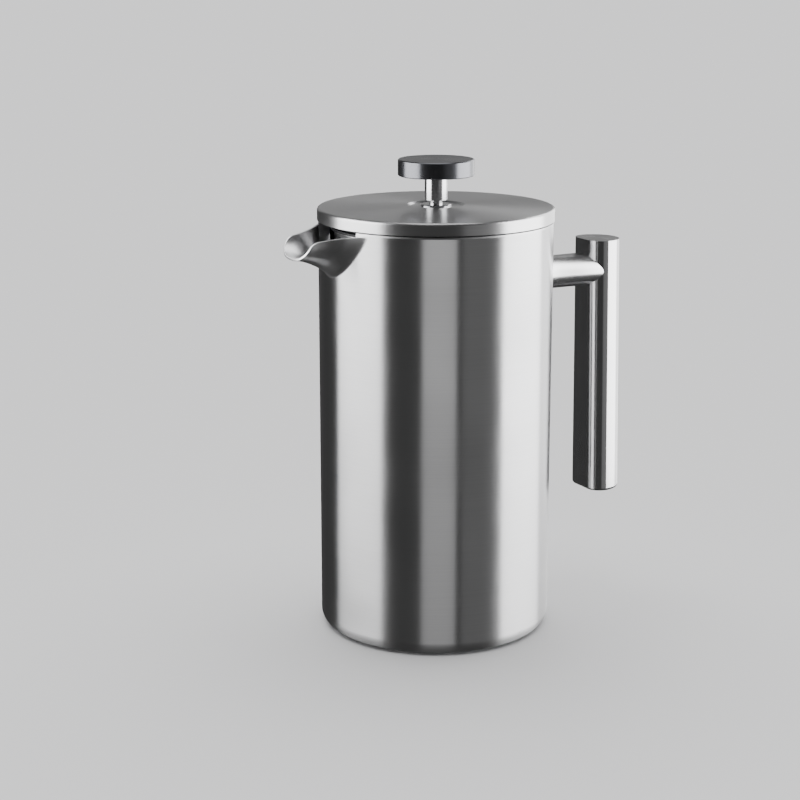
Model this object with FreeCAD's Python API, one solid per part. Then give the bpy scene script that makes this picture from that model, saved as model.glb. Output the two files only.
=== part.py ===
import FreeCAD, Part
import math
import os

# Double-wall steel french press: a straight insulated beaker with a welded spout and a bar handle,
# a lift-off lid, and a plunger that slides and turns in the lid.
# The origin is on the beaker's axis at its resting face. +Z is up, +X points to the handle and
# -X to the spout. Every length is in millimetres.

# ---- Beaker ---------------------------------------------------------------------------------
body_radius = 54.0             # outside of the shell
body_height = 192.0            # resting face to the top of the rim
shell_wall = 0.8
base_corner_radius = 6.0       # where the shell's side turns under
standing_ring_width = 6.0      # flat ring of the shell that the press stands on
base_plate_wall = 0.8
base_plate_overlap = 4.0       # how far the base plate reaches in over the standing ring
liner_bore_radius = 48.8       # inside of the beaker
liner_wall = 0.8
liner_floor_height = 10.0      # resting face to the inside of the floor
liner_corner_radius = 4.0
rim_lead_in = 0.6              # rounding of the liner's mouth

# ---- Pour notch and spout -------------------------------------------------------------------
notch_half_width = 20.0        # at the rim
notch_depth = 19.0             # below the rim
notch_fullness = 1.5           # 1 is a V, 2 is an ellipse
throat_wall = 0.8
spout_wall = 1.0
spout_reach = 19.4             # from the shell's face to the tip of the lip
spout_root_half_width = 23.6
spout_mouth_half_width = 13.0
spout_mouth_setback = 5.0      # how far the mouth's top corners lie behind the tip
spout_top_drop = 1.2           # from the rim to the top edge at the root
spout_edge_fall = 3.0          # further drop of the top edge from the root to the mouth
spout_root_depth = 21.0        # from the rim to the lowest point on the shell
spout_lip_depth = 13.0         # from the rim to the lowest point of the lip
spout_flare = 2.2              # how late the sides widen towards the root
spout_sweep = 1.6              # how late the underside drops towards the root
spout_root_fullness = 1.55     # roundness of the section, as notch_fullness
spout_mouth_fullness = 2.4
spout_corner_rounding = 2.0    # of the mouth's top corners, seen from the side

# ---- Handle ---------------------------------------------------------------------------------
arm_drop = 29.2                # from the rim down to the arm's centre line
arm_half_height = 7.8
arm_root_half_width = 8.0
arm_tip_half_width = 11.2      # the arm widens sideways where it meets the grip
backing_plate_wall = 1.2
backing_plate_half_width = 17.0
backing_plate_margin = 5.0     # above and below the arm
grip_top_drop = 14.7           # from the rim down to the grip's flat top
grip_bottom_height = 53.4
grip_gap = 26.7                # from the shell to the grip's flat inner face, at the top
grip_lean = 1.8                # how much further out the grip is at the bottom
grip_top_half_width = 11.5     # also the radius of the half-round outer face
grip_bottom_half_width = 12.3
grip_corner_radius = 7.0       # between the flat inner face and the sides
grip_wall = 1.2
grip_top_cap_height = 2.0
grip_bottom_cap_height = 6.0
grip_bottom_rounding = 1.4

# ---- Lid ------------------------------------------------------------------------------------
lid_overhang = 0.5             # beyond the shell
lid_shadow_gap = 0.7           # from the rim to the lid's lower edge
lid_skirt_height = 5.6
lid_edge_rounding = 1.3
lid_crown = 1.0                # rise of the lid's top towards its centre
lid_wall = 0.9
lid_plate_wall = 0.8
lid_plate_rim = 3.4            # height of the plate's turned-up rim
lid_plate_corner = 2.4         # slope between the plate's floor and its rim
dimple_radius = 13.2
dimple_depth = 0.8
dimple_slope = 1.2
collar_gap = 2.3               # from the bore to the collar
collar_wall = 0.8
collar_height = 14.0
bead_height = 1.0              # rolled bead that carries the seal
bead_reach = 0.9
seal_height = 3.0
seal_groove = 1.0              # height of the groove between its two lips
seal_bore_gap = 0.3            # from the seal to the bore
slot_width = 2.6
slot_height = 7.0
slot_count = 11
slot_pitch = 8.0               # degrees round the collar
slot_margin = 1.2              # below the bead

# ---- Rod bush -------------------------------------------------------------------------------
bush_flange_radius = 7.0
bush_flange_height = 1.0
bush_flange_chamfer = 0.3
bush_radius = 4.6
bush_nut_flats = 14.0          # across flats
bush_nut_height = 4.0

# ---- Plunger --------------------------------------------------------------------------------
rod_radius = 3.0
thread_radius = 2.5
knob_gap = 2.0                 # from the bush to the foot of the stem with the plunger down
stem_radius = 5.2
stem_height = 11.0
stem_spigot_radius = 3.6
stem_spigot_height = 4.0
stem_thread_depth = 9.0
knob_radius = 17.5
knob_height = 7.5
knob_edge_chamfer = 0.4
filter_floor_gap = 0.3         # under the lowest nut with the plunger down
filter_nut_flats = 12.0
mesh_corner_gap = 0.3          # from the liner's rounded corner to the mesh
support_plate_gap = 2.5        # from the mesh's edge in to the support plate's
support_plate_wall = 1.0
support_hole_radius = 8.5
support_hole_circle = 30.0     # radius of the circle of hole centres
support_hole_count = 8
mesh_wall = 0.5
filter_bore_gap = 0.5          # from the mesh and the spring to the bore
spring_coil_radius = 2.1
spring_seat_gap = 0.1
filter_plate_wall = 0.8
filter_plate_rim = 3.6
filter_plate_spring_gap = 0.2
filter_hole_radius = 2.5
outer_hole_count = 16
outer_hole_share = 0.78        # of the plate's radius, where the outer holes lie
inner_hole_count = 8
inner_hole_share = 0.45
rod_nut_radius = 6.0
rod_nut_height = 5.0

# ---- Named clearances -----------------------------------------------------------------------
running_clearance = 0.05       # radial, between pieces that turn or slide on each other
thread_clearance = 0.05        # radial, between a thread and its tapped hole
end_clearance = 0.1            # axial, between pieces that turn on each other
weld_gap = 0.05                # between the shell and the plate welded inside it
past = 1.0                     # how far a cutting solid runs past the face it cuts

# ---- Heights and radii that follow ------------------------------------------------------------
shell_top = body_height - liner_wall
arm_height = body_height - arm_drop
grip_top_height = body_height - grip_top_drop
lid_radius = body_radius + lid_overhang
lid_bottom = body_height + lid_shadow_gap
lid_edge_height = lid_bottom + lid_skirt_height
collar_radius = liner_bore_radius - collar_gap
collar_bottom = body_height - collar_height
seal_top = body_height - end_clearance
seal_bottom = seal_top - seal_height
bead_top = seal_bottom - end_clearance
bead_bottom = bead_top - bead_height
slot_top = bead_bottom - slot_margin

filter_nut_bottom = liner_floor_height + filter_floor_gap
mesh_bottom = liner_floor_height + liner_corner_radius + mesh_corner_gap
support_plate_bottom = mesh_bottom - support_plate_wall
filter_plate_bottom = mesh_bottom + mesh_wall
rod_nut_bottom = filter_plate_bottom + filter_plate_wall
rod_shoulder = rod_nut_bottom + rod_nut_height
filter_radius = liner_bore_radius - filter_bore_gap
spring_ring_radius = filter_radius - spring_coil_radius
spring_height = filter_plate_bottom + spring_seat_gap + spring_coil_radius
filter_plate_radius = spring_ring_radius - spring_coil_radius - filter_plate_spring_gap


def crown_height(radius):
    """Height of the lid's outer face at a radius, on its crowned part."""
    share = radius / lid_radius
    return lid_edge_height + lid_crown * (1.0 - share * share)


dimple_floor = crown_height(dimple_radius) - dimple_depth
bush_top = dimple_floor + bush_flange_height
bush_bottom = body_height - bush_nut_height - end_clearance
stem_foot = bush_top + knob_gap
knob_bottom = stem_foot + stem_height


# ---- Helpers ----------------------------------------------------------------------------------
def vector(x, y, z):
    return FreeCAD.Vector(x, y, z)


def profile(start, *steps):
    """Face in the XZ plane. A step is an (x, z) point to go straight to, or a pair of points:
    one that an arc passes through and the one where it ends."""
    edges = []
    here = vector(start[0], 0, start[1])
    for step in steps + (start,):
        if isinstance(step[0], tuple):
            through, end = [vector(x, 0, z) for x, z in step]
            edges.append(Part.Arc(here, through, end).toShape())
        else:
            end = vector(step[0], 0, step[1])
            edges.append(Part.LineSegment(here, end).toShape())
        here = end
    return Part.Face(Part.Wire(edges))


def revolved(start, *steps):
    """Solid of revolution about Z of an (radius, height) outline."""
    return profile(start, *steps).revolve(vector(0, 0, 0), vector(0, 0, 1), 360)


def cylinder(radius, bottom, top, x=0.0, y=0.0):
    return Part.makeCylinder(radius, top - bottom, vector(x, y, bottom))


def box(low, high):
    size = [b - a for a, b in zip(low, high)]
    return Part.makeBox(*size, vector(*low))


def hexagon(across_flats, bottom, top):
    corner = across_flats / math.sqrt(3.0)
    points = []
    for i in range(7):
        angle = math.radians(60 * i)
        points.append(vector(corner * math.cos(angle), corner * math.sin(angle), bottom))
    return Part.Face(Part.makePolygon(points)).extrude(vector(0, 0, top - bottom))


def rings(solid, radius, height):
    """The solid's circular edges of one radius at one height."""
    found = []
    for edge in solid.Edges:
        curve = edge.Curve
        if isinstance(curve, Part.Circle):
            same_radius = abs(curve.Radius - radius) < 1e-4
            same_height = abs(curve.Center.z - height) < 1e-4
            if same_radius and same_height:
                found.append(edge)
    return found


def spline(points):
    curve = Part.BSplineCurve()
    curve.interpolate(points)
    return curve.toShape()


def trough_curve(x, half_width, top, bottom, fullness, steps=12):
    """Open curve in a plane of constant x, down one side of a trough and up the other."""
    points = []
    for i in range(steps + 1):
        angle = math.radians(-90.0 + 180.0 * i / steps)
        across = math.copysign(abs(math.sin(angle)) ** (2.0 / fullness), angle)
        down = abs(math.cos(angle)) ** (2.0 / fullness) if abs(angle) < math.radians(89.9) else 0.0
        points.append(vector(x, half_width * across, top - (top - bottom) * down))
    return points


# ---- Beaker pieces ------------------------------------------------------------------------------
standing_ring_outer = body_radius - base_corner_radius
standing_ring_inner = standing_ring_outer - standing_ring_width


def make_notch(inset):
    """Solid that fills the pour notch in both walls, smaller by the inset all round."""
    outer_x = -(body_radius + spout_reach)
    top = body_height
    half_width = notch_half_width - inset
    curve = trough_curve(outer_x, half_width, top, top - notch_depth + inset, notch_fullness)
    above = top + notch_depth
    far_roof = vector(outer_x, half_width, above)
    near_roof = vector(outer_x, -half_width, above)
    roof = Part.makePolygon([curve[-1], far_roof, near_roof, curve[0]])
    wire = Part.Wire([spline(curve)] + roof.Edges)
    return Part.Face(wire).extrude(vector(spout_reach + body_radius - notch_half_width, 0, 0))


def make_outer_shell():
    inner_radius = body_radius - shell_wall
    corner = base_corner_radius
    inner_corner = corner - shell_wall
    bend = corner * math.sqrt(0.5)
    inner_bend = inner_corner * math.sqrt(0.5)
    shell = revolved(
        (standing_ring_inner, 0),
        (standing_ring_outer, 0),
        ((standing_ring_outer + bend, corner - bend), (body_radius, corner)),
        (body_radius, shell_top),
        (inner_radius, shell_top),
        (inner_radius, corner),
        ((standing_ring_outer + inner_bend, corner - inner_bend), (standing_ring_outer, shell_wall)),
        (standing_ring_inner, shell_wall))
    return shell.cut(make_notch(0.0))


def make_inner_liner():
    outer_radius = liner_bore_radius + liner_wall
    floor_bottom = liner_floor_height - liner_wall
    corner = liner_corner_radius
    outer_corner = corner + liner_wall
    flat = liner_bore_radius - corner
    bend = corner * math.sqrt(0.5)
    outer_bend = outer_corner * math.sqrt(0.5)
    centre = liner_floor_height + corner
    liner = revolved(
        (0, floor_bottom),
        (flat, floor_bottom),
        ((flat + outer_bend, centre - outer_bend), (outer_radius, centre)),
        (outer_radius, shell_top),
        (body_radius, shell_top),
        (body_radius, body_height),
        (liner_bore_radius, body_height),
        (liner_bore_radius, centre),
        ((flat + bend, centre - bend), (flat, liner_floor_height)),
        (0, liner_floor_height))
    liner = liner.makeFillet(rim_lead_in, rings(liner, liner_bore_radius, body_height))
    return liner.cut(make_notch(0.0))


def make_base_plate():
    """Pressed plate: its middle lies flush in the standing ring and its edge lies on the ring."""
    middle = standing_ring_inner - thread_clearance
    edge = standing_ring_inner + base_plate_overlap
    step = middle - base_plate_wall
    return revolved(
        (0, 0),
        (middle, 0),
        (middle, shell_wall),
        (edge, shell_wall),
        (edge, shell_wall + base_plate_wall),
        (step, shell_wall + base_plate_wall),
        (step, base_plate_wall),
        (0, base_plate_wall))


def make_spout_throat():
    """Sleeve that closes the gap between the two walls round the notch."""
    sleeve = make_notch(0.0).cut(make_notch(throat_wall))
    sleeve = sleeve.common(cylinder(body_radius, 0, body_height))
    return sleeve.cut(cylinder(liner_bore_radius, 0, body_height + past))


def spout_section(x_distance):
    """Closed wire round the spout's wall at one distance from the axis."""
    tip = body_radius + spout_reach
    mouth = tip - spout_mouth_setback
    root = math.sqrt(body_radius ** 2 - spout_root_half_width ** 2)
    along = (mouth - x_distance) / (mouth - root)
    widening = max(along, 0.0) ** spout_flare
    half_width = spout_mouth_half_width + (spout_root_half_width - spout_mouth_half_width) * widening
    top = body_height - spout_top_drop - spout_edge_fall * (1.0 - along)
    lip = body_height - spout_lip_depth
    fall = max((tip - x_distance) / spout_reach, 0.0) ** spout_sweep
    bottom = lip - (spout_root_depth - spout_lip_depth) * fall
    share = min(max(1.0 - along, 0.0), 1.0)
    fullness = spout_root_fullness + (spout_mouth_fullness - spout_root_fullness) * share
    outer = trough_curve(-x_distance, half_width, top, bottom, fullness)
    inner = trough_curve(-x_distance, half_width - spout_wall, top, bottom + spout_wall, fullness)
    inner.reverse()
    far_edge = Part.LineSegment(outer[-1], inner[0]).toShape()
    near_edge = Part.LineSegment(inner[-1], outer[0]).toShape()
    return Part.Wire([spline(outer), far_edge, spline(inner), near_edge])


def make_mouth_cutter():
    """Block beyond the spout's mouth: level above its top edge, then rounded down to a slant."""
    tip = body_radius + spout_reach
    corner = vector(-(tip - spout_mouth_setback), 0, body_height - spout_top_drop - spout_edge_fall)
    lip = vector(-tip, 0, body_height - spout_lip_depth)
    down = (lip - corner).normalize()
    inward = vector(1, 0, 0)
    half_turn = inward.getAngle(down) / 2.0
    bisector = (inward + down).normalize()
    setback = spout_corner_rounding / math.tan(half_turn)
    on_edge = corner + inward * setback
    on_slant = corner + down * setback
    middle = corner + bisector * (spout_corner_rounding / math.sin(half_turn) - spout_corner_rounding)
    low = lip + down * spout_reach
    above = corner.z + spout_reach
    beyond = low.x - spout_reach
    cutter = profile(
        (on_edge.x, on_edge.z),
        ((middle.x, middle.z), (on_slant.x, on_slant.z)),
        (low.x, low.z),
        (beyond, low.z),
        (beyond, above),
        (on_edge.x, above))
    width = 4.0 * spout_root_half_width
    cutter.translate(vector(0, -width / 2.0, 0))
    return cutter.extrude(vector(0, width, 0))


def make_spout():
    """Drawn beak: an open trough that widens and deepens into the shell, cut off at a slant."""
    tip = body_radius + spout_reach
    start = body_radius - spout_reach / 2.0
    count = 8
    distances = [start + (tip + past - start) * i / (count - 1) for i in range(count)]
    trough = Part.makeLoft([spout_section(distance) for distance in distances], True, False)
    trough = trough.cut(cylinder(body_radius, 0, body_height + past))
    return trough.cut(make_mouth_cutter())


# ---- Handle pieces --------------------------------------------------------------------------------
def grip_section(height, inset):
    """Wire of the grip's section at one height: flat towards the beaker and half-round outside."""
    down = (grip_top_height - height) / (grip_top_height - grip_bottom_height)
    half_width = grip_top_half_width + (grip_bottom_half_width - grip_top_half_width) * down
    inner_x = body_radius + grip_gap + grip_lean * down
    centre_x = inner_x + grip_corner_radius
    half_flat = half_width - grip_corner_radius
    corner = grip_corner_radius - inset
    outer = half_width - inset
    bend = corner * math.sqrt(0.5)
    far_flat = vector(inner_x + inset, half_flat, height)
    far_bend = vector(centre_x - bend, half_flat + bend, height)
    far_side = vector(centre_x, outer, height)
    middle = vector(centre_x + outer, 0, height)
    near_side = vector(centre_x, -outer, height)
    near_bend = vector(centre_x - bend, -half_flat - bend, height)
    near_flat = vector(inner_x + inset, -half_flat, height)
    edges = [
        Part.LineSegment(near_flat, far_flat),
        Part.Arc(far_flat, far_bend, far_side),
        Part.Arc(far_side, middle, near_side),
        Part.Arc(near_side, near_bend, near_flat)]
    return Part.Wire([edge.toShape() for edge in edges])


def grip_solid(bottom, top, inset=0.0):
    return Part.makeLoft([grip_section(bottom, inset), grip_section(top, inset)], True, True)


def make_handle_grip():
    bottom = grip_bottom_height + grip_bottom_cap_height
    top = grip_top_height - grip_top_cap_height
    return grip_solid(bottom, top).cut(grip_solid(bottom, top, grip_wall))


def make_grip_top_cap():
    return grip_solid(grip_top_height - grip_top_cap_height, grip_top_height)


def make_grip_bottom_cap():
    """Plug with a rounded lower edge."""
    radius = grip_bottom_rounding
    count = 7
    sections = []
    for i in range(count):
        angle = math.radians(90.0 * i / (count - 1))
        height = grip_bottom_height + radius * (1.0 - math.cos(angle))
        sections.append(grip_section(height, radius * (1.0 - math.sin(angle))))
    rounded = Part.makeLoft(sections, True, False)
    straight = grip_solid(grip_bottom_height + radius, grip_bottom_height + grip_bottom_cap_height)
    return rounded.fuse(straight).removeSplitter()


def make_handle_arm():
    """Solid arm, round at the shell and widened to a level oval at the grip, coped to both."""
    start = body_radius - grip_gap / 2.0
    end = body_radius + grip_gap + grip_lean + grip_corner_radius
    count = 9
    wires = []
    for i in range(count):
        x = start + (end - start) * i / (count - 1)
        share = min(max((x - body_radius) / (grip_gap + grip_corner_radius), 0.0), 1.0)
        widening = share ** 2 * (3.0 - 2.0 * share)
        half_width = arm_root_half_width + (arm_tip_half_width - arm_root_half_width) * widening
        centre = vector(x, 0, arm_height)
        across = vector(0, half_width, 0)
        up = vector(0, 0, arm_half_height)
        if half_width >= arm_half_height:
            oval = Part.Ellipse(centre + across, centre + up, centre)
        else:
            oval = Part.Ellipse(centre + up, centre + across, centre)
        wires.append(Part.Wire([oval.toShape()]))
    arm = Part.makeLoft(wires, True, False)
    arm = arm.cut(cylinder(body_radius, 0, body_height))
    return arm.cut(grip_solid(grip_bottom_height, grip_top_height))


def make_arm_backing_plate():
    """Curved plate inside the air gap that spreads the arm's load over the shell."""
    outer = body_radius - shell_wall - weld_gap
    reach = arm_half_height + backing_plate_margin
    plate = cylinder(outer, arm_height - reach, arm_height + reach)
    plate = plate.cut(cylinder(outer - backing_plate_wall, 0, body_height))
    low = (0, -backing_plate_half_width, 0)
    high = (body_radius, backing_plate_half_width, body_height)
    return plate.common(box(low, high))


# ---- Lid pieces ------------------------------------------------------------------------------------
def make_lid_cover():
    hole = bush_radius + running_clearance
    floor_end = dimple_radius - dimple_slope
    middle = (dimple_radius + lid_radius) / 2.0
    inner = lid_radius - lid_wall
    cover = revolved(
        (hole, dimple_floor),
        (floor_end, dimple_floor),
        (dimple_radius, crown_height(dimple_radius)),
        ((middle, crown_height(middle)), (lid_radius, lid_edge_height)),
        (lid_radius, lid_bottom),
        (inner, lid_bottom),
        (inner, lid_edge_height - lid_wall),
        ((middle, crown_height(middle) - lid_wall), (dimple_radius, crown_height(dimple_radius) - lid_wall)),
        (floor_end, dimple_floor - lid_wall),
        (hole, dimple_floor - lid_wall))
    return cover.makeFillet(lid_edge_rounding, rings(cover, lid_radius, lid_edge_height))


def make_lid_plate():
    """Pan that closes the lid underneath and rests on the rim."""
    hole = bush_radius + running_clearance
    rim = lid_radius - lid_wall
    floor = rim - lid_plate_corner
    top = body_height + lid_plate_rim + lid_shadow_gap
    wall = lid_plate_wall
    slope_top = body_height + lid_plate_corner
    return revolved(
        (hole, body_height),
        (floor, body_height),
        (rim, slope_top),
        (rim, top),
        (rim - wall, top),
        (rim - wall, slope_top),
        (floor - wall, body_height + wall),
        (hole, body_height + wall))


def make_lid_collar():
    """Ring under the lid with a rolled bead for the seal and a row of pour slots by the spout."""
    inner = collar_radius - collar_wall
    bead = (bead_top + bead_bottom) / 2.0
    collar = revolved(
        (inner, body_height),
        (inner, collar_bottom),
        (collar_radius, collar_bottom),
        (collar_radius, bead_bottom),
        ((collar_radius + bead_reach, bead), (collar_radius, bead_top)),
        (collar_radius, body_height))
    for i in range(slot_count):
        angle = (i - (slot_count - 1) / 2.0) * slot_pitch
        slot = box((-collar_radius - past, -slot_width / 2.0, slot_top - slot_height),
                   (-inner + past, slot_width / 2.0, slot_top))
        slot.rotate(vector(0, 0, 0), vector(0, 0, 1), angle)
        collar = collar.cut(slot)
    return collar


def make_lid_seal():
    """Silicone ring between the bead and the lid plate."""
    inner = collar_radius + running_clearance
    outer = liner_bore_radius - seal_bore_gap
    waist = (inner + outer) / 2.0
    middle = (seal_top + seal_bottom) / 2.0
    return revolved(
        (inner, seal_bottom),
        (outer, seal_bottom),
        (outer, middle - seal_groove / 2.0),
        (waist, middle),
        (outer, middle + seal_groove / 2.0),
        (outer, seal_top),
        (inner, seal_top))


def make_rod_bush():
    bore = rod_radius + running_clearance
    bush = revolved(
        (bore, bush_top),
        (bush_flange_radius, bush_top),
        (bush_flange_radius, dimple_floor),
        (bush_radius, dimple_floor),
        (bush_radius, bush_bottom),
        (bore, bush_bottom))
    return bush.makeChamfer(bush_flange_chamfer, rings(bush, bush_flange_radius, bush_top))


def make_bush_nut():
    nut = hexagon(bush_nut_flats, bush_bottom, bush_bottom + bush_nut_height)
    return nut.cut(cylinder(bush_radius + thread_clearance, 0, body_height))


# ---- Plunger pieces ----------------------------------------------------------------------------------
def make_plunger_rod():
    thread_bottom = filter_nut_bottom + filter_floor_gap
    thread_top = stem_foot + stem_thread_depth
    return revolved(
        (0, thread_bottom),
        (thread_radius, thread_bottom),
        (thread_radius, rod_shoulder),
        (rod_radius, rod_shoulder),
        (rod_radius, stem_foot),
        (thread_radius, stem_foot),
        (thread_radius, thread_top),
        (0, thread_top))


def tapped(bottom, top):
    """Cutter for a hole that the rod's thread goes through."""
    return cylinder(thread_radius + thread_clearance, bottom, top)


def make_knob_stem():
    stem = cylinder(stem_radius, stem_foot, knob_bottom)
    spigot = cylinder(stem_spigot_radius, knob_bottom, knob_bottom + stem_spigot_height)
    stem = stem.fuse(spigot).removeSplitter()
    return stem.cut(tapped(stem_foot - past, stem_foot + stem_thread_depth + past))


def make_knob_disc():
    top = knob_bottom + knob_height
    disc = cylinder(knob_radius, knob_bottom, top)
    edges = rings(disc, knob_radius, top) + rings(disc, knob_radius, knob_bottom)
    disc = disc.makeChamfer(knob_edge_chamfer, edges)
    socket_top = knob_bottom + stem_spigot_height + thread_clearance
    return disc.cut(cylinder(stem_spigot_radius + thread_clearance, knob_bottom - past, socket_top))


def make_filter_nut():
    nut = hexagon(filter_nut_flats, filter_nut_bottom, support_plate_bottom)
    return nut.cut(tapped(filter_nut_bottom - past, support_plate_bottom + past))


def make_support_plate():
    """Plate with a ring of large holes that holds the mesh up from below."""
    plate = cylinder(filter_radius - support_plate_gap, support_plate_bottom, mesh_bottom)
    for i in range(support_hole_count):
        angle = 2.0 * math.pi * i / support_hole_count
        x = support_hole_circle * math.cos(angle)
        y = support_hole_circle * math.sin(angle)
        plate = plate.cut(cylinder(support_hole_radius, support_plate_bottom - past, mesh_bottom + past, x, y))
    return plate.cut(tapped(support_plate_bottom - past, mesh_bottom + past))


def make_mesh_screen():
    screen = cylinder(filter_radius, mesh_bottom, filter_plate_bottom)
    return screen.cut(tapped(mesh_bottom - past, filter_plate_bottom + past))


def make_filter_plate():
    """Perforated dish whose turned-up rim holds the edge spring."""
    wall = filter_plate_wall
    radius = filter_plate_radius
    plate = revolved(
        (thread_radius + thread_clearance, filter_plate_bottom),
        (radius, filter_plate_bottom),
        (radius, filter_plate_bottom + filter_plate_rim),
        (radius - wall, filter_plate_bottom + filter_plate_rim),
        (radius - wall, filter_plate_bottom + wall),
        (thread_radius + thread_clearance, filter_plate_bottom + wall))
    for count, share in ((outer_hole_count, outer_hole_share), (inner_hole_count, inner_hole_share)):
        for i in range(count):
            angle = 2.0 * math.pi * i / count
            x = radius * share * math.cos(angle)
            y = radius * share * math.sin(angle)
            plate = plate.cut(cylinder(filter_hole_radius, filter_plate_bottom - past, rod_shoulder, x, y))
    return plate


def make_edge_spring():
    """Outer shape of the coiled spring that rings the filter."""
    return Part.makeTorus(spring_ring_radius, spring_coil_radius, vector(0, 0, spring_height))


def make_rod_nut():
    nut = cylinder(rod_nut_radius, rod_nut_bottom, rod_shoulder)
    return nut.cut(tapped(rod_nut_bottom - past, rod_shoulder + past))


pieces = {
    "outer_shell": make_outer_shell,
    "inner_liner": make_inner_liner,
    "base_plate": make_base_plate,
    "spout_throat": make_spout_throat,
    "spout": make_spout,
    "handle_arm": make_handle_arm,
    "arm_backing_plate": make_arm_backing_plate,
    "handle_grip": make_handle_grip,
    "grip_top_cap": make_grip_top_cap,
    "grip_bottom_cap": make_grip_bottom_cap,
    "lid_cover": make_lid_cover,
    "lid_plate": make_lid_plate,
    "lid_collar": make_lid_collar,
    "lid_seal": make_lid_seal,
    "rod_bush": make_rod_bush,
    "bush_nut": make_bush_nut,
    "knob_disc": make_knob_disc,
    "knob_stem": make_knob_stem,
    "plunger_rod": make_plunger_rod,
    "filter_nut": make_filter_nut,
    "support_plate": make_support_plate,
    "mesh_screen": make_mesh_screen,
    "filter_plate": make_filter_plate,
    "edge_spring": make_edge_spring,
    "rod_nut": make_rod_nut,
}

os.makedirs("parts", exist_ok=True)
for name, make in pieces.items():
    shape = make()
    shape.exportStep("parts/" + name + ".step")
    print(name, len(shape.Solids), shape.isValid(), round(shape.Volume, 1))
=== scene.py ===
import math

import bmesh
import bpy
from bpy.props import FloatProperty, FloatVectorProperty, PointerProperty
from bpy.types import Operator, Panel, PropertyGroup
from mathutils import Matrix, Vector


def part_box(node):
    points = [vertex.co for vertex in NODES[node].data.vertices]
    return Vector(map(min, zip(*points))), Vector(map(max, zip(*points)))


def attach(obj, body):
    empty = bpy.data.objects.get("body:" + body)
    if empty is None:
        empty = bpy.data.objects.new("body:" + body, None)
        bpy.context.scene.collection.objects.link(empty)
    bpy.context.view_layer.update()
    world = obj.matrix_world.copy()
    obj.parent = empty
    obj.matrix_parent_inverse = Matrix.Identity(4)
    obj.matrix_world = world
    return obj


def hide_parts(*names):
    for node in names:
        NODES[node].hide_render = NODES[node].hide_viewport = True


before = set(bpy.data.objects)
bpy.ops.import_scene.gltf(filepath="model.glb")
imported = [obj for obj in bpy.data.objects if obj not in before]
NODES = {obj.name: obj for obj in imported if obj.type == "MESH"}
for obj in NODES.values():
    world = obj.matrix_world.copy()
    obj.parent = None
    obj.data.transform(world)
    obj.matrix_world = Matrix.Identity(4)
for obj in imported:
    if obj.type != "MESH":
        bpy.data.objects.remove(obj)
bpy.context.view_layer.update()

bl_info = {
    "name": "French press",
    "version": (1, 0, 0),
    "blender": (4, 5, 0),
    "location": "3D View > Sidebar > French press",
    "description": "Finishes a double-wall steel french press around its packed frame",
    "category": "Object",
}

MM = 0.001
AXIS = Vector((0.0, 0.0, 1.0))


# ---- Small helpers ---------------------------------------------------------------------------
def linear(hex_colour):
    """An sRGB hex value as linear red, green, blue."""
    parts = [int(hex_colour[i:i + 2], 16) / 255.0 for i in (1, 3, 5)]
    return tuple(c / 12.92 if c <= 0.04045 else ((c + 0.055) / 1.055) ** 2.4 for c in parts)


def add(tree, kind, values=None, links=None, **settings):
    """Adds a node, sets its settings and input values, and links outputs to its inputs."""
    node = tree.nodes.new(kind)
    for name, value in settings.items():
        setattr(node, name, value)
    for socket, value in (values or {}).items():
        node.inputs[socket].default_value = value
    for socket, output in (links or {}).items():
        tree.links.new(output, node.inputs[socket])
    return node


def new_material(name):
    """An empty node material with its output, ready for a shader."""
    material = bpy.data.materials.new(name)
    material.use_nodes = True
    tree = material.node_tree
    tree.nodes.clear()
    return material, tree, add(tree, "ShaderNodeOutputMaterial")


def dress(material, *node_names):
    """Gives CAD nodes that are shown as they are their material."""
    for node_name in node_names:
        for slot in NODES[node_name].material_slots:
            slot.material = material


def mesh_of(name, shape):
    """Turns a bmesh into a mesh and frees it."""
    mesh = bpy.data.meshes.new(name)
    shape.to_mesh(mesh)
    shape.free()
    return mesh


def new_piece(name, body, material, shape, stands_for):
    """Makes a smooth mesh object of a bmesh, which rides on a body in place of a CAD node."""
    mesh = mesh_of(name, shape)
    for polygon in mesh.polygons:
        polygon.use_smooth = True
    piece = bpy.data.objects.new(name, mesh)
    bpy.context.scene.collection.objects.link(piece)
    mesh.materials.append(material)
    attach(piece, body)
    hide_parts(stands_for)
    return piece


def sheet_of(rows):
    """A bmesh skin over rows of points, all of one length."""
    shape = bmesh.new()
    grid = [[shape.verts.new(point) for point in row] for row in rows]
    for low, high in zip(grid, grid[1:]):
        for i in range(len(low) - 1):
            shape.faces.new((low[i], low[i + 1], high[i + 1], high[i]))
    return shape


def turned(outline, segments=192):
    """A bmesh ring: a closed outline of (radius, height) points turned round the Z axis."""
    shape = bmesh.new()
    angles = [2.0 * math.pi * i / segments for i in range(segments)]
    rings = [[shape.verts.new((radius * math.cos(angle), radius * math.sin(angle), height))
              for angle in angles] for radius, height in outline]
    for low, high in zip(rings, rings[1:] + rings[:1]):
        for i in range(segments):
            j = (i + 1) % segments
            shape.faces.new((low[i], low[j], high[j], high[i]))
    bmesh.ops.recalc_face_normals(shape, faces=shape.faces)
    return shape


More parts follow.
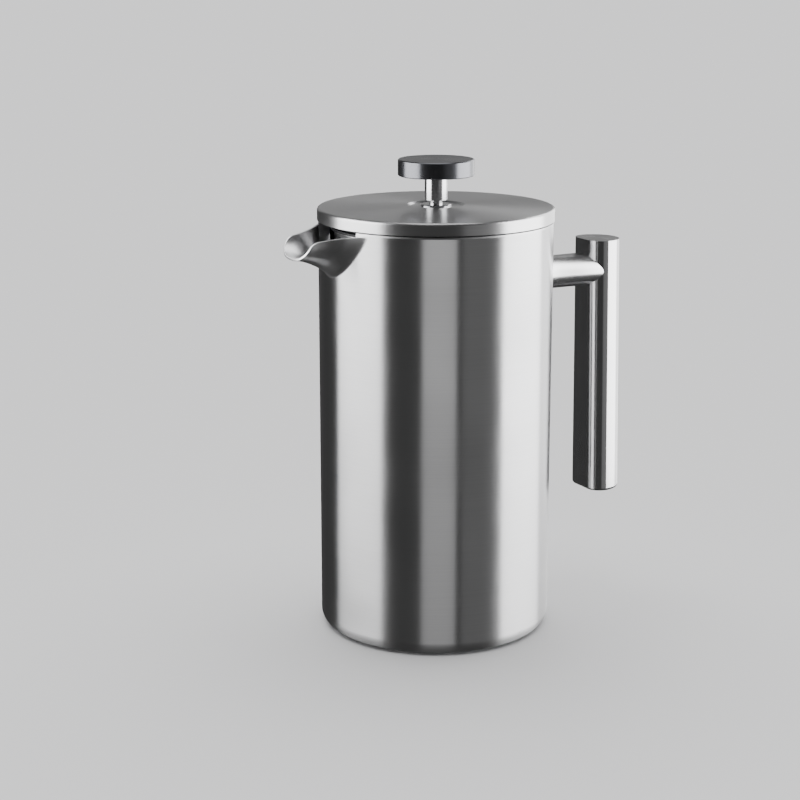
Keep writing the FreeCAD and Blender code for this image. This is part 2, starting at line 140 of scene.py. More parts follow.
def add_wire(shape, points, radius, sides, closed=False):
    """Adds a round wire along a row of points to a bmesh."""
    count = len(points)
    rings = []
    for i, point in enumerate(points):
        after = points[(i + 1) % count] if closed else points[min(i + 1, count - 1)]
        before = points[i - 1] if closed else points[max(i - 1, 0)]
        along = (after - before).normalized()
        side = along.cross(AXIS).normalized()
        up = side.cross(along)
        ring = []
        for k in range(sides):
            angle = 2.0 * math.pi * k / sides
            spoke = side * (radius * math.cos(angle)) + up * (radius * math.sin(angle))
            ring.append(shape.verts.new(point + spoke))
        rings.append(ring)
    pairs = list(zip(rings, rings[1:]))
    if closed:
        pairs.append((rings[-1], rings[0]))
    for low, high in pairs:
        for k in range(sides):
            m = (k + 1) % sides
            shape.faces.new((low[k], low[m], high[m], high[k]))
    if not closed:
        shape.faces.new(rings[0])
        shape.faces.new(list(reversed(rings[-1])))


def rounded(outline, radii, steps=5):
    """An outline with its corners rounded: radii gives a radius for the corner of each index."""
    points = []
    count = len(outline)
    for i, corner in enumerate(outline):
        radius = radii.get(i, 0.0)
        here = Vector((*corner, 0.0))
        if not radius:
            points.append(corner)
            continue
        before = (Vector((*outline[i - 1], 0.0)) - here).normalized()
        after = (Vector((*outline[(i + 1) % count], 0.0)) - here).normalized()
        half = before.angle(after) / 2.0
        reach = radius / math.tan(half)
        centre = here + (before + after).normalized() * (radius / math.sin(half))
        start = here + before * reach - centre
        end = here + after * reach - centre
        for step in range(steps + 1):
            share = step / steps
            spoke = (start * (1.0 - share) + end * share).normalized() * radius
            points.append(tuple((centre + spoke)[:2]))
    return points


# ---- Materials -------------------------------------------------------------------------------
GRAIN_CONTRAST = 0.06          # how much darker the deepest line of the belt is
GRAIN_DETAIL = {"Scale": 1.0, "Detail": 3.0, "Roughness": 0.62}
CLOUD_DETAIL = {"Scale": 22.0, "Detail": 2.0, "Roughness": 0.5}    # patches about 45 mm wide
LEVEL_ROTATION = 0.25          # a quarter turn, which smears lights across level lines


def steel(name, colour, roughness, spread, line, length, lines_run, depth, cloud=0.05):
    """Stainless steel with lines left by an abrasive belt. The lines run round the Z axis, level
    in any direction, or along the axis, a line wide and a length long, in metres. Spread
    stretches the gloss across them, and cloud is how much the roughness drifts."""
    material, tree, out = new_material(name)
    place = add(tree, "ShaderNodeTexCoord").outputs["Object"]
    scale = (1.0 / length, 1.0 / length, 1.0 / line)
    grain_place = place
    if lines_run == "along":
        scale = (1.0 / line, 1.0 / line, 1.0 / length)
    elif lines_run == "round":
        # the distance from the axis joins the height, so that flat faces carry rings too
        split = add(tree, "ShaderNodeSeparateXYZ", links={"Vector": place}).outputs
        level = add(tree, "ShaderNodeCombineXYZ", links={"X": split["X"], "Y": split["Y"]})
        radius = add(tree, "ShaderNodeVectorMath", operation="LENGTH",
                     links={0: level.outputs[0]})
        across = add(tree, "ShaderNodeMath", operation="ADD",
                     links={0: radius.outputs["Value"], 1: split["Z"]})
        grain_place = add(tree, "ShaderNodeCombineXYZ", links={
            "X": split["X"], "Y": split["Y"], "Z": across.outputs[0]}).outputs[0]
    stretched = add(tree, "ShaderNodeVectorMath", operation="MULTIPLY",
                    values={1: scale}, links={0: grain_place})
    grain = add(tree, "ShaderNodeTexNoise", values=GRAIN_DETAIL,
                links={"Vector": stretched.outputs[0]}).outputs["Fac"]
    clouds = add(tree, "ShaderNodeTexNoise", values=CLOUD_DETAIL,
                 links={"Vector": place}).outputs["Fac"]
    shade = add(tree, "ShaderNodeMapRange", values={
        "From Min": 0.3, "From Max": 0.7, "To Min": 1.0 - GRAIN_CONTRAST, "To Max": 1.0},
        links={"Value": grain})
    tint = add(tree, "ShaderNodeVectorMath", operation="SCALE", values={0: colour},
               links={"Scale": shade.outputs[0]})
    gloss = add(tree, "ShaderNodeMapRange", values={
        "From Min": 0.25, "From Max": 0.75,
        "To Min": roughness - cloud, "To Max": roughness + cloud}, links={"Value": clouds})
    bump = add(tree, "ShaderNodeBump", values={"Strength": 1.0, "Distance": depth},
               links={"Height": grain})
    shader = add(tree, "ShaderNodeBsdfPrincipled",
                 values={"Metallic": 1.0, "Anisotropic": spread},
                 links={"Base Color": tint.outputs[0], "Roughness": gloss.outputs[0],
                        "Normal": bump.outputs[0]})
    if spread:
        rotation = 0.0 if lines_run == "along" else LEVEL_ROTATION
        shader.inputs["Anisotropic Rotation"].default_value = rotation
        tangent = add(tree, "ShaderNodeTangent", direction_type="RADIAL", axis="Z")
        tree.links.new(tangent.outputs[0], shader.inputs["Tangent"])
    tree.links.new(shader.outputs[0], out.inputs["Surface"])
    return material


def silicone(name, colour):
    """Moulded food-grade silicone: matt dark grey, with a fine mould texture and soft edges."""
    material, tree, out = new_material(name)
    place = add(tree, "ShaderNodeTexCoord").outputs["Object"]
    # mould texture, about 0.5 mm across
    grain = add(tree, "ShaderNodeTexNoise", values={"Scale": 1800.0, "Detail": 2.0},
                links={"Vector": place}).outputs["Fac"]
    gloss = add(tree, "ShaderNodeMapRange", values={
        "From Min": 0.3, "From Max": 0.7, "To Min": 0.42, "To Max": 0.55},
        links={"Value": grain})
    bump = add(tree, "ShaderNodeBump", values={"Strength": 0.6, "Distance": 0.02 * MM},
               links={"Height": grain})
    shader = add(tree, "ShaderNodeBsdfPrincipled", values={
        "Base Color": (*colour, 1.0), "IOR": 1.41, "Subsurface Weight": 0.15,
        "Subsurface Radius": (2.0 * MM, 2.0 * MM, 2.0 * MM)},
        links={"Roughness": gloss.outputs[0], "Normal": bump.outputs[0]})
    tree.links.new(shader.outputs[0], out.inputs["Surface"])
    return material


def plain_floor(colour):
    """Matt painted board with an even, faintly mottled surface and no shine."""
    material, tree, out = new_material("plain_floor")
    place = add(tree, "ShaderNodeTexCoord").outputs["Object"]
    mottle = add(tree, "ShaderNodeTexNoise", values={"Scale": 40.0, "Detail": 3.0},
                 links={"Vector": place})
    gloss = add(tree, "ShaderNodeMapRange", values={"To Min": 0.5, "To Max": 0.6},
                links={"Value": mottle.outputs["Fac"]})
    shader = add(tree, "ShaderNodeBsdfPrincipled",
                 values={"Base Color": (*colour, 1.0), "Specular IOR Level": 0.0},
                 links={"Roughness": gloss.outputs[0]})
    tree.links.new(shader.outputs[0], out.inputs["Surface"])
    return material


# ---- Settings --------------------------------------------------------------------------------
class SteelSettings(PropertyGroup):
    body_colour: FloatVectorProperty(
        name="Body steel", description="Colour of the brushed sheet", subtype="COLOR", size=3,
        min=0.0, max=1.0, default=linear("#CBCBCC"))
    turned_colour: FloatVectorProperty(
        name="Turned steel", description="Colour of the turned post, rod, bush and nuts",
        subtype="COLOR", size=3, min=0.0, max=1.0, default=linear("#CFCFD1"))
    # the knob's dark grey is painted shade: it darkens the whole disc where the lights reach it
    # less
    knob_painted_shade_colour: FloatVectorProperty(
        name="Knob steel", description="Colour of the knob's duller disc", subtype="COLOR", size=3,
        min=0.0, max=1.0, default=linear("#6E6F73"))
    silicone_colour: FloatVectorProperty(
        name="Seal", description="Colour of the silicone seal", subtype="COLOR", size=3,
        min=0.0, max=1.0, default=linear("#2C2D2F"))


class SpoutSettings(PropertyGroup):
    shell_radius: FloatProperty(
        name="Shell", description="Outside radius of the shell", unit="LENGTH", default=54.0 * MM)
    rim_height: FloatProperty(
        name="Rim", description="Height of the beaker's rim", unit="LENGTH", default=192.0 * MM)
    wall: FloatProperty(
        name="Wall", description="Thickness of the spout's sheet", unit="LENGTH",
        default=1.0 * MM, min=0.4 * MM, max=2.0 * MM)
    reach: FloatProperty(
        name="Reach", description="From the shell to the tip of the lip", unit="LENGTH",
        default=19.4 * MM)
    root_half_width: FloatProperty(
        name="Root half width", description="Half the spout's width at the shell", unit="LENGTH",
        default=23.6 * MM)
    mouth_half_width: FloatProperty(
        name="Mouth half width", description="Half the spout's width at the mouth", unit="LENGTH",
        default=13.0 * MM)
    mouth_setback: FloatProperty(
        name="Mouth setback", description="How far the mouth's top corners lie behind the tip",
        unit="LENGTH", default=5.0 * MM)
    top_drop: FloatProperty(
        name="Top drop", description="From the rim down to the top edge at the shell",
        unit="LENGTH", default=1.2 * MM)
    edge_fall: FloatProperty(
        name="Edge fall", description="Further drop of the top edge towards the mouth",
        unit="LENGTH", default=3.0 * MM)
    root_depth: FloatProperty(
        name="Root depth", description="From the rim to the lowest point on the shell",
        unit="LENGTH", default=21.0 * MM)
    lip_depth: FloatProperty(
        name="Lip depth", description="From the rim to the lowest point of the lip", unit="LENGTH",
        default=13.0 * MM)
    flare: FloatProperty(
        name="Flare", description="How late the sides widen towards the shell", default=2.2)
    sweep: FloatProperty(
        name="Sweep", description="How late the underside drops towards the shell", default=1.6)
    root_fullness: FloatProperty(
        name="Root fullness", description="Section at the shell: 1 is a V, 2 is an ellipse",
        default=1.55)
    mouth_fullness: FloatProperty(
        name="Mouth fullness", description="Section at the mouth: 1 is a V, 2 is an ellipse",
        default=2.4)
    corner_rounding: FloatProperty(
        name="Corner rounding", description="Radius of the mouth's top corners", unit="LENGTH",
        default=2.0 * MM)
    weld_on_spout: FloatProperty(
        name="Blend on the spout", description="How far out the polished weld starts",
        unit="LENGTH", default=6.0 * MM)
    weld_on_shell: FloatProperty(
        name="Blend on the shell", description="How far the polished weld reaches over the shell",
        unit="LENGTH", default=1.4 * MM)


class FilterSettings(PropertyGroup):
    spring_wire: FloatProperty(
        name="Spring wire", description="Thickness of the edge spring's wire", unit="LENGTH",
        default=0.8 * MM, min=0.3 * MM, max=1.5 * MM)
    spring_pitch: FloatProperty(
        name="Spring pitch", description="From one turn of the edge spring to the next",
        unit="LENGTH", default=1.7 * MM, min=0.8 * MM, max=5.0 * MM)
    mesh_pitch: FloatProperty(
        name="Mesh pitch", description="From one wire of the screen to the next, drawn coarse",
        unit="LENGTH", default=1.5 * MM, min=1.0 * MM, max=6.0 * MM)
    mesh_wire: FloatProperty(
        name="Mesh wire", description="Thickness of the screen's wires", unit="LENGTH",
        default=0.26 * MM, min=0.1 * MM, max=0.5 * MM)
    mesh_bore: FloatProperty(
        name="Mesh bore", description="Radius of the screen's hole for the rod", unit="LENGTH",
        default=3.2 * MM, min=1.0 * MM, max=8.0 * MM)
    mesh_border: FloatProperty(
        name="Mesh border", description="Width of the pressed band round the screen", unit="LENGTH",
        default=1.4 * MM, min=0.5 * MM, max=4.0 * MM)


class StageSettings(PropertyGroup):
    floor_colour: FloatVectorProperty(
        name="Floor", description="Colour of the plain floor", subtype="COLOR", size=3,
        min=0.0, max=1.0, default=linear("#D9D9DA"))
    camera_distance: FloatProperty(
        name="Camera distance", description="From the press's axis to the camera, level",
        unit="LENGTH", default=0.8666, min=0.2, max=5.0)
    camera_height: FloatProperty(
        name="Camera height", description="From the floor to the camera", unit="LENGTH",
        default=0.319, min=0.0, max=3.0)
    camera_azimuth: FloatProperty(
        name="Camera azimuth", description="Direction of the camera round the press",
        subtype="ANGLE", default=math.radians(-29.0))
    camera_heading: FloatProperty(
        name="Camera heading", description="How far the camera looks past the axis",
        subtype="ANGLE", default=0.019)
    camera_dip: FloatProperty(
        name="Camera dip", description="How far the camera looks down",
        subtype="ANGLE", default=0.24)
    camera_lens: FloatProperty(
        name="Lens", description="Focal length on a 36 mm sensor",
        default=85.58, min=10.0, max=300.0)


# ---- Spout -----------------------------------------------------------------------------------
SPOUT_COLUMNS = 96             # from one top edge round the bottom to the other
SPOUT_ROWS = 24                # from the mouth to the weld
WELD_ROWS = 12
WELD_SHARE = 0.6               # of the spout's own length, which the weld never passes
WELD_LIFT = 0.03 * MM          # the weld's outer edge over the shell's face
ROLLED_EDGE = 0.42             # share of the sheet that each side of its edge is rounded
WELD_TOP = 0.8                 # share of the top drop at which the weld ends below the rim
SEARCH_FROM = 0.8              # share of the shell's radius, well inside the wall


def spout_point(spout, distance, turn):
    """Point of the spout's outer face at a distance from the axis, turn going from -90 degrees at
    one top edge through 0 at the bottom to 90 at the other."""
    tip = spout.shell_radius + spout.reach
    mouth = tip - spout.mouth_setback
    root = math.sqrt(spout.shell_radius ** 2 - spout.root_half_width ** 2)
    along = (mouth - distance) / (mouth - root)
    widening = max(along, 0.0) ** spout.flare
    half_width = (spout.mouth_half_width
                  + (spout.root_half_width - spout.mouth_half_width) * widening)
    top = spout.rim_height - spout.top_drop - spout.edge_fall * (1.0 - along)
    fall = max((tip - distance) / spout.reach, 0.0) ** spout.sweep
    bottom = spout.rim_height - spout.lip_depth - (spout.root_depth - spout.lip_depth) * fall
    share = min(max(1.0 - along, 0.0), 1.0)
    power = 2.0 / (spout.root_fullness + (spout.mouth_fullness - spout.root_fullness) * share)
    across = math.copysign(abs(math.sin(turn)) ** power, turn)
    down = max(math.cos(turn), 0.0) ** power
    return Vector((-distance, half_width * across, top - (top - bottom) * down))


def crossing(low, high, beyond):
    """Where a test of a distance changes from no to yes, by halving."""
    for _ in range(40):
        middle = (low + high) / 2.0
        if beyond(middle):
            high = middle
        else:
            low = middle
    return low


def spout_skin(spout):
    """Bmesh of the spout's outer face, from the slanted mouth to a soft weld on the shell."""
    tip = spout.shell_radius + spout.reach
    mouth = tip - spout.mouth_setback
    corner_height = spout.rim_height - spout.top_drop - spout.edge_fall
    slant = spout.mouth_setback / (corner_height - (spout.rim_height - spout.lip_depth))
    radius = spout.corner_rounding

    def past_mouth(point):
        drop = max(corner_height - point.z, 0.0)
        bite = radius - math.sqrt(radius ** 2 - (radius - drop) ** 2) if drop < radius else 0.0
        return -point.x > mouth + slant * drop - bite

    count = SPOUT_COLUMNS
    turns = [math.radians(-90.0 + 180.0 * i / count) for i in range(count + 1)]
    roots, mouths = [], []
    for turn in turns:
        root = crossing(spout.shell_radius * SEARCH_FROM, tip,
                        lambda d: spout_point(spout, d, turn).xy.length > spout.shell_radius)
        roots.append(root)
        mouths.append(crossing(root, tip + spout.wall,
                               lambda d: past_mouth(spout_point(spout, d, turn))))
    seats = [spout_point(spout, root, turn) for root, turn in zip(roots, turns)]
    middle = Vector((-spout.shell_radius, 0.0, corner_height))
    rows = []
    for i, turn in enumerate(turns):
        weld = roots[i] + min(spout.weld_on_spout, WELD_SHARE * (mouths[i] - roots[i]))
        row = [spout_point(spout, mouths[i] + (weld - mouths[i]) * j / SPOUT_ROWS, turn)
               for j in range(SPOUT_ROWS + 1)]
        along = seats[min(i + 1, count)] - seats[max(i - 1, 0)]
        outward = Vector((seats[i].x, seats[i].y, 0.0)).normalized()
        away = along.cross(outward).normalized()
        if away.dot(seats[i] - middle) < 0.0:
            away.negate()
        end = seats[i] + away * spout.weld_on_shell
        end.xy = end.xy.normalized() * (spout.shell_radius + WELD_LIFT)
        end.z = min(end.z, spout.rim_height - spout.top_drop * WELD_TOP)
        begin = row[-1]
        for j in range(1, WELD_ROWS + 1):
            share = j / WELD_ROWS
            row.append(begin * (1.0 - share) ** 2 + seats[i] * (2.0 * share * (1.0 - share))
                       + end * share ** 2)
        rows.append(row)
    shape = sheet_of(rows)
    bmesh.ops.recalc_face_normals(shape, faces=shape.faces)
    lowest = min(shape.faces, key=lambda face: face.calc_center_median().z)
    if lowest.normal.z > 0.0:
        bmesh.ops.reverse_faces(shape, faces=shape.faces)
    return shape


# ---- Beaker ----------------------------------------------------------------------------------
class PRESS_OT_beaker(Operator):
    """Brushed steel on the shell and what is welded to it"""
    bl_idname = "press.beaker"
    bl_label = "Finish the beaker"

    def execute(self, context):
        colours = context.scene.press_steel
        # 304 stainless sheet, brushed round the body with a fine belt: soft level lines, and
        # lights that smear up and down the wall. A belt line is about 0.1 mm wide and is drawn
        # coarser, so that it shows
        sheet = steel("brushed_stainless_round", colours.body_colour, roughness=0.32, spread=1.0,
                      line=0.35 * MM, length=40.0 * MM, lines_run="round", depth=0.004 * MM)
        # 304 sheet with a plainer satin finish, where only steam and coffee see it
        satin = steel("satin_stainless_sheet", colours.body_colour, roughness=0.32, spread=0.3,
                      line=0.3 * MM, length=25.0 * MM, lines_run="round", depth=0.003 * MM)
        # 304 sheet drawn to a beak and polished by hand: even satin, with lights that follow
        # its shape alone
        drawn = steel("satin_stainless_drawn", colours.body_colour, roughness=0.32, spread=0.0,
                      line=0.4 * MM, length=6.0 * MM, lines_run="round", depth=0.003 * MM)
        dress(sheet, "outer_shell", "base_plate")
        dress(satin, "inner_liner", "spout_throat", "arm_backing_plate")
        spout = context.scene.press_spout
        beak = new_piece("pouring_spout", "beaker", drawn, spout_skin(spout),
                         "spout")
        skin = beak.modifiers.new("sheet", "SOLIDIFY")
        skin.thickness = spout.wall
        skin.offset = -1.0
        skin.use_even_offset = True
        edge = beak.modifiers.new("rolled_edge", "BEVEL")
        edge.width = spout.wall * ROLLED_EDGE
        edge.segments = 4
        edge.limit_method = "ANGLE"
        edge.angle_limit = math.radians(50.0)
        return {"FINISHED"}


class PRESS_OT_handle(Operator):
    """Brushed steel on the handle"""
    bl_idname = "press.handle"
    bl_label = "Finish the handle"

    def execute(self, context):
        colours = context.scene.press_steel
        # welded 304 tube, brushed across its length: narrow, crisp lights that run down the grip
        tube = steel("brushed_stainless_tube", colours.body_colour, roughness=0.19, spread=0.6,
                     line=0.3 * MM, length=30.0 * MM, lines_run="level", depth=0.003 * MM,
                     cloud=0.01)
        # solid 304 bar, polished by hand along its length: an even satin
        bar = steel("satin_stainless_bar", colours.body_colour, roughness=0.24, spread=0.0,
                    line=0.3 * MM, length=10.0 * MM, lines_run="along", depth=0.003 * MM)
        dress(tube, "handle_grip", "grip_top_cap", "grip_bottom_cap")
        dress(bar, "handle_arm")
        return {"FINISHED"}


class PRESS_OT_lid(Operator):
    """Ring-brushed lid, its parts underneath and the seal"""
    bl_idname = "press.lid"
    bl_label = "Finish the lid"

    def execute(self, context):
        colours = context.scene.press_steel
        # 304 sheet brushed while it spins: rings on the top, and lights that fan out from the knob
        spun = steel("brushed_stainless_spun", colours.body_colour, roughness=0.30, spread=0.7,
                     line=0.35 * MM, length=30.0 * MM, lines_run="round", depth=0.004 * MM,
                     cloud=0.005)
        # pressed 304 sheet underneath, plain satin
        satin = steel("satin_stainless_pressed", colours.body_colour, roughness=0.32, spread=0.3,
                      line=0.3 * MM, length=25.0 * MM, lines_run="round", depth=0.003 * MM)
        # 304 turned on a lathe: bright, with fine tool rings
        turned_bush = steel("turned_stainless_bush", colours.turned_colour, roughness=0.2,
                            spread=0.3, line=0.2 * MM, length=20.0 * MM, lines_run="round",
                            depth=0.002 * MM, cloud=0.01)
        dress(spun, "lid_cover")
        dress(satin, "lid_plate", "lid_collar")
        dress(silicone("moulded_silicone", colours.silicone_colour), "lid_seal")
        dress(turned_bush, "rod_bush", "bush_nut")
        return {"FINISHED"}


class PRESS_OT_plunger(Operator):
    """Turned knob and rod, and the filter's plates and nuts"""
    bl_idname = "press.plunger"
    bl_label = "Finish the plunger"

    def execute(self, context):
        colours = context.scene.press_steel
        # 304 bar turned on a lathe: the brightest steel of the press, with fine tool rings
        turned_bar = steel("turned_stainless_bar", colours.turned_colour, roughness=0.18,
                           spread=0.4, line=0.2 * MM, length=20.0 * MM, lines_run="round",
                           depth=0.001 * MM, cloud=0.01)
        # pressed 304 plate, satin
        plate = steel("pressed_stainless_plate", colours.body_colour, roughness=0.28, spread=0.2,
                      line=0.3 * MM, length=20.0 * MM, lines_run="round", depth=0.003 * MM)
        # 304 bar turned on a lathe, with a softer gloss than the post under it; its dark grey
        # colour is painted shade, which stands in for the dim light on the knob's sides
        knob_shade_steel = steel("knob_stainless_painted_shade", colours.knob_painted_shade_colour, roughness=0.27, spread=0.3,
                        line=0.3 * MM, length=12.0 * MM, lines_run="round", depth=0.003 * MM,
                        cloud=0.01)
        dress(knob_shade_steel, "knob_disc")
        dress(turned_bar, "knob_stem", "plunger_rod", "filter_nut", "rod_nut")
        dress(plate, "support_plate", "filter_plate")
        return {"FINISHED"}


# ---- Filter ----------------------------------------------------------------------------------
STEPS_PER_COIL = 14
SPRING_SIDES = 8
MESH_SIDES = 4                 # a screen wire is too thin to show more


def coil_spring(low, high, settings):
    """Bmesh of a wire wound in small turns round a ring that fills a box."""
    coil_radius = (high.z - low.z) / 2.0
    ring_radius = high.x - coil_radius
    centre = (low.z + high.z) / 2.0
    winding = coil_radius - settings.spring_wire / 2.0
    turns = round(2.0 * math.pi * ring_radius / settings.spring_pitch)
    steps = turns * STEPS_PER_COIL
    points = []
    for i in range(steps):
        round_ring = 2.0 * math.pi * i / steps
        round_coil = round_ring * turns
        radius = ring_radius + winding * math.cos(round_coil)
        points.append(Vector((radius * math.cos(round_ring), radius * math.sin(round_ring),
                              centre + winding * math.sin(round_coil))))
    shape = bmesh.new()
    add_wire(shape, points, settings.spring_wire / 2.0, SPRING_SIDES, closed=True)
    bmesh.ops.recalc_face_normals(shape, faces=shape.faces)
    return shape


def woven_screen(low, high, settings):
    """Bmesh of a plain weave that fills a flat round box, with a hole and a pressed border. The
    real screen is many times finer; it is drawn coarse, so that it shows."""
    radius = high.x
    centre = (low.z + high.z) / 2.0
    half = (high.z - low.z) / 2.0
    wire = settings.mesh_wire / 2.0
    wave = half - wire
    pitch = settings.mesh_pitch
    bore = settings.mesh_bore
    inner = radius - settings.mesh_border * 0.6
    count = int(inner / pitch)
    shape = bmesh.new()
    for level in (0, 1):
        for i in range(-count, count + 1):
            across = (i + 0.5) * pitch
            if abs(across) >= inner:
                continue
            reach = math.sqrt(inner ** 2 - across ** 2)
            runs = [(-reach, reach)]
            if abs(across) < bore:
                hole = math.sqrt(bore ** 2 - across ** 2)
                runs = [(-reach, -hole), (hole, reach)]
            for start, end in runs:
                steps = max(int((end - start) / pitch * 2.0), 2)
                points = []
                for k in range(steps + 1):
                    along = start + (end - start) * k / steps
                    lift = wave * math.cos(math.pi * (along / pitch + i + level - 0.5))
                    place = (along, across) if level else (across, along)
                    points.append(Vector((*place, centre + lift)))
                add_wire(shape, points, wire, MESH_SIDES)
    border = rounded([(radius - settings.mesh_border, low.z), (radius, low.z), (radius, high.z),
                      (radius - settings.mesh_border, high.z)],
                     {i: half * 0.6 for i in range(4)})
    band = mesh_of("border", turned(border))
    shape.from_mesh(band)
    bpy.data.meshes.remove(band)
    return shape


class PRESS_OT_filter(Operator):
    """Coiled edge spring and woven screen"""
    bl_idname = "press.filter"
    bl_label = "Build the filter"

    def execute(self, context):
        settings = context.scene.press_filter
        colours = context.scene.press_steel
        # drawn 304 wire: smooth and bright, with fine die lines along it
        wire = steel("drawn_stainless_wire", colours.turned_colour, roughness=0.24, spread=0.0,
                     line=0.2 * MM, length=4.0 * MM, lines_run="level", depth=0.001 * MM,
                     cloud=0.03)
        new_piece("wound_edge_spring", "plunger", wire,
                  coil_spring(*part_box("edge_spring"), settings), "edge_spring")
        # woven 304 screen, a little duller than the spring
        weave = steel("woven_stainless_wire", colours.body_colour, roughness=0.34, spread=0.0,
                      line=0.2 * MM, length=3.0 * MM, lines_run="level", depth=0.001 * MM,
                      cloud=0.03)
        new_piece("woven_screen", "plunger", weave,
                  woven_screen(*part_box("mesh_screen"), settings), "mesh_screen")
        return {"FINISHED"}


# ---- Stage -----------------------------------------------------------------------------------
FLOOR_HALF_SIDE = 40.0
ROOM_STRENGTH = 0.06           # what the steel has to reflect between the panels
WALL_STRENGTH = 1.12           # as pale to the eye as the floor
SUN_STRENGTH = 5.0             # a wide overhead light, which the steel doesn't show
SUN_WIDTH = math.radians(80.0)
SUN_TILT = (math.radians(-12.0), math.radians(8.0), 0.0)
OVERHEAD_SIDE = 1.6
OVERHEAD_HEIGHT = 2.2
OVERHEAD_BRIGHTNESS = 1.6
SENSOR_WIDTH = 36.0            # in mm, as Blender counts a camera's sensor
CLIP = (0.01, 200.0)

PANELS = (
    # name, azimuth from the camera's side and width in degrees, lowest and highest point and
    # distance in metres, brightness, and the piece that it alone lights, or none for all
    ("left_panel", -79.0, 54.0, -0.02, 0.85, 0.9, 7.0, None),
    ("front_panel", 3.8, 32.0, -0.25, 0.85, 1.3, 1.05, "outer_shell"),
    ("front_fill", 47.0, 42.0, -0.60, 0.60, 1.3, 0.17, None),
    ("right_panel", 94.0, 54.0, -0.20, 0.85, 0.9, 7.5, None),
    ("arm_panel", 88.0, 80.0, -0.30, 1.60, 0.9, 7.0, "handle_arm"),
    ("far_right_panel", 142.0, 42.0, -0.20, 0.85, 0.9, 3.0, None),
    ("back_panel", 180.0, 60.0, 0.25, 1.60, 1.6, 0.26, None),
    ("spout_panel", 105.0, 110.0, 0.85, 2.60, 0.9, 3.5, "pouring_spout"),
    ("lip_panel", -112.0, 90.0, 0.25, 2.20, 0.9, 4.0, "pouring_spout"),
)


def gloss_light(name, wide, tall, brightness, place, away):
    """A rectangular light that shows only in gloss and shines against a direction."""
    light = bpy.data.lights.new(name, "AREA")
    light.shape = "RECTANGLE"
    light.size = wide
    light.size_y = tall
    light.energy = brightness * wide * tall * math.pi
    lamp = bpy.data.objects.new(name, light)
    lamp.location = place
    lamp.rotation_euler = away.to_track_quat("Z", "Y").to_euler()
    lamp.visible_camera = False
    lamp.visible_diffuse = False
    bpy.context.scene.collection.objects.link(lamp)
    return lamp


def soft_panel(name, azimuth, span, low, high, distance, brightness, lit_piece):
    """An upright light panel that faces the axis, flagged off all but one piece if it names it."""
    wide = 2.0 * distance * math.tan(math.radians(span / 2.0))
    turn = bpy.context.scene.press_stage.camera_azimuth + math.radians(azimuth)
    away = Vector((math.sin(turn), -math.cos(turn), 0.0))
    place = away * distance + AXIS * ((low + high) / 2.0)
    lamp = gloss_light(name, wide, high - low, brightness, place, away)
    if lit_piece:
        lit = bpy.data.collections.new(name + "_lights")
        lit.objects.link(bpy.data.objects[lit_piece])
        lamp.light_linking.receiver_collection = lit


def pale_room(scene):
    """A world whose wall is as pale as the floor, while the steel has a dim room to reflect."""
    world = bpy.data.worlds.new("studio")
    world.use_nodes = True
    tree = world.node_tree
    seen = add(tree, "ShaderNodeLightPath").outputs["Is Camera Ray"]
    strength = add(tree, "ShaderNodeMapRange",
                   values={"To Min": ROOM_STRENGTH, "To Max": WALL_STRENGTH},
                   links={"Value": seen})
    background = tree.nodes["Background"]
    background.inputs["Color"].default_value = (1.0, 1.0, 1.0, 1.0)
    tree.links.new(strength.outputs[0], background.inputs["Strength"])
    scene.world = world


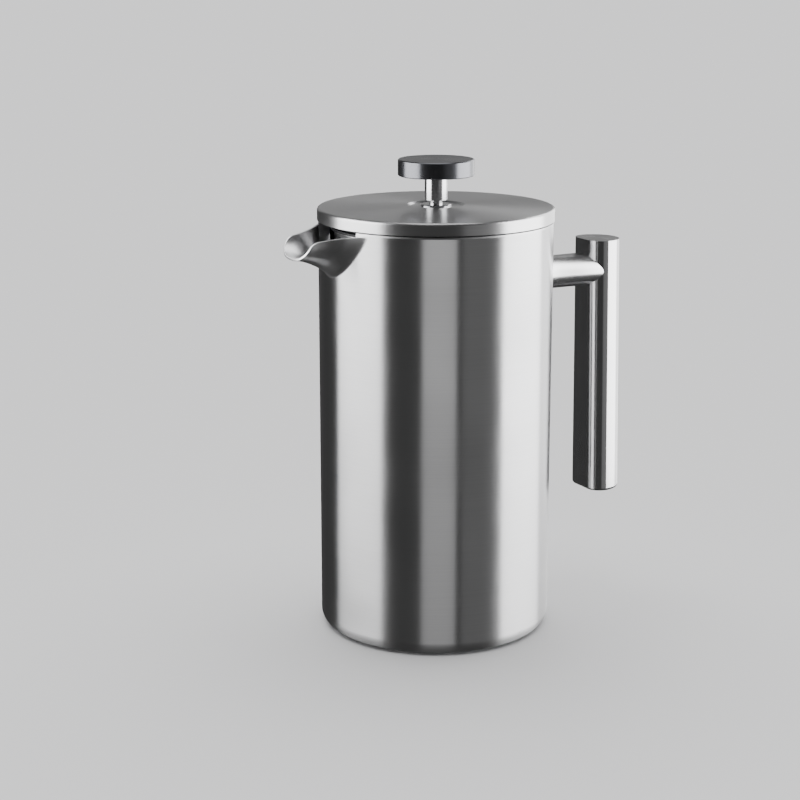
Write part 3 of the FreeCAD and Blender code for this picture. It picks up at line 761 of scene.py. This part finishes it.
class PRESS_OT_stage(Operator):
    """Pale floor, soft lights and the camera"""
    bl_idname = "press.stage"
    bl_label = "Set the stage"

    def execute(self, context):
        scene = context.scene
        settings = scene.press_stage
        shape = bmesh.new()
        bmesh.ops.create_grid(shape, x_segments=4, y_segments=4, size=FLOOR_HALF_SIDE)
        mesh = mesh_of("floor", shape)
        mesh.materials.append(plain_floor(settings.floor_colour))
        floor = bpy.data.objects.new("floor", mesh)
        scene.collection.objects.link(floor)
        floor.visible_glossy = False
        floor.visible_shadow = False
        pale_room(scene)

        sun = bpy.data.lights.new("overhead", "SUN")
        sun.energy = SUN_STRENGTH
        sun.angle = SUN_WIDTH
        lamp = bpy.data.objects.new("overhead", sun)
        lamp.rotation_euler = SUN_TILT
        lamp.visible_glossy = False
        scene.collection.objects.link(lamp)
        for panel in PANELS:
            soft_panel(*panel)
        gloss_light("overhead_panel", OVERHEAD_SIDE, OVERHEAD_SIDE, OVERHEAD_BRIGHTNESS,
                    AXIS * OVERHEAD_HEIGHT, AXIS)

        data = bpy.data.cameras.new("camera")
        data.sensor_width = SENSOR_WIDTH
        data.lens = settings.camera_lens
        data.clip_start, data.clip_end = CLIP
        camera = bpy.data.objects.new("camera", data)
        turn = settings.camera_azimuth
        camera.location = (math.sin(turn) * settings.camera_distance,
                           -math.cos(turn) * settings.camera_distance, settings.camera_height)
        camera.rotation_euler = (math.pi / 2.0 - settings.camera_dip, 0.0,
                                 turn + settings.camera_heading)
        scene.collection.objects.link(camera)
        scene.camera = camera
        return {"FINISHED"}


# ---- Panel and registration --------------------------------------------------------------------
OPERATORS = (PRESS_OT_beaker, PRESS_OT_handle, PRESS_OT_lid, PRESS_OT_plunger,
             PRESS_OT_filter, PRESS_OT_stage)


class PRESS_PT_panel(Panel):
    """Lists the press's settings and the operators that build it"""
    bl_idname = "PRESS_PT_panel"
    bl_label = "French press"
    bl_space_type = "VIEW_3D"
    bl_region_type = "UI"
    bl_category = "French press"

    def draw(self, context):
        scene = context.scene
        for settings in (scene.press_steel, scene.press_spout, scene.press_filter,
                         scene.press_stage):
            box = self.layout.box()
            for name in settings.__annotations__:
                box.prop(settings, name)
        for operator in OPERATORS:
            self.layout.operator(operator.bl_idname)


CLASSES = (SteelSettings, SpoutSettings, FilterSettings, StageSettings, *OPERATORS,
           PRESS_PT_panel)


def register():
    for cls in CLASSES:
        bpy.utils.register_class(cls)
    bpy.types.Scene.press_steel = PointerProperty(type=SteelSettings)
    bpy.types.Scene.press_spout = PointerProperty(type=SpoutSettings)
    bpy.types.Scene.press_filter = PointerProperty(type=FilterSettings)
    bpy.types.Scene.press_stage = PointerProperty(type=StageSettings)


def unregister():
    del bpy.types.Scene.press_stage
    del bpy.types.Scene.press_filter
    del bpy.types.Scene.press_spout
    del bpy.types.Scene.press_steel
    for cls in reversed(CLASSES):
        bpy.utils.unregister_class(cls)


def main():
    """Builds the whole visual model."""
    register()
    bpy.ops.press.beaker()
    bpy.ops.press.handle()
    bpy.ops.press.lid()
    bpy.ops.press.plunger()
    bpy.ops.press.filter()
    bpy.ops.press.stage()


if __name__ == "__main__":
    main()
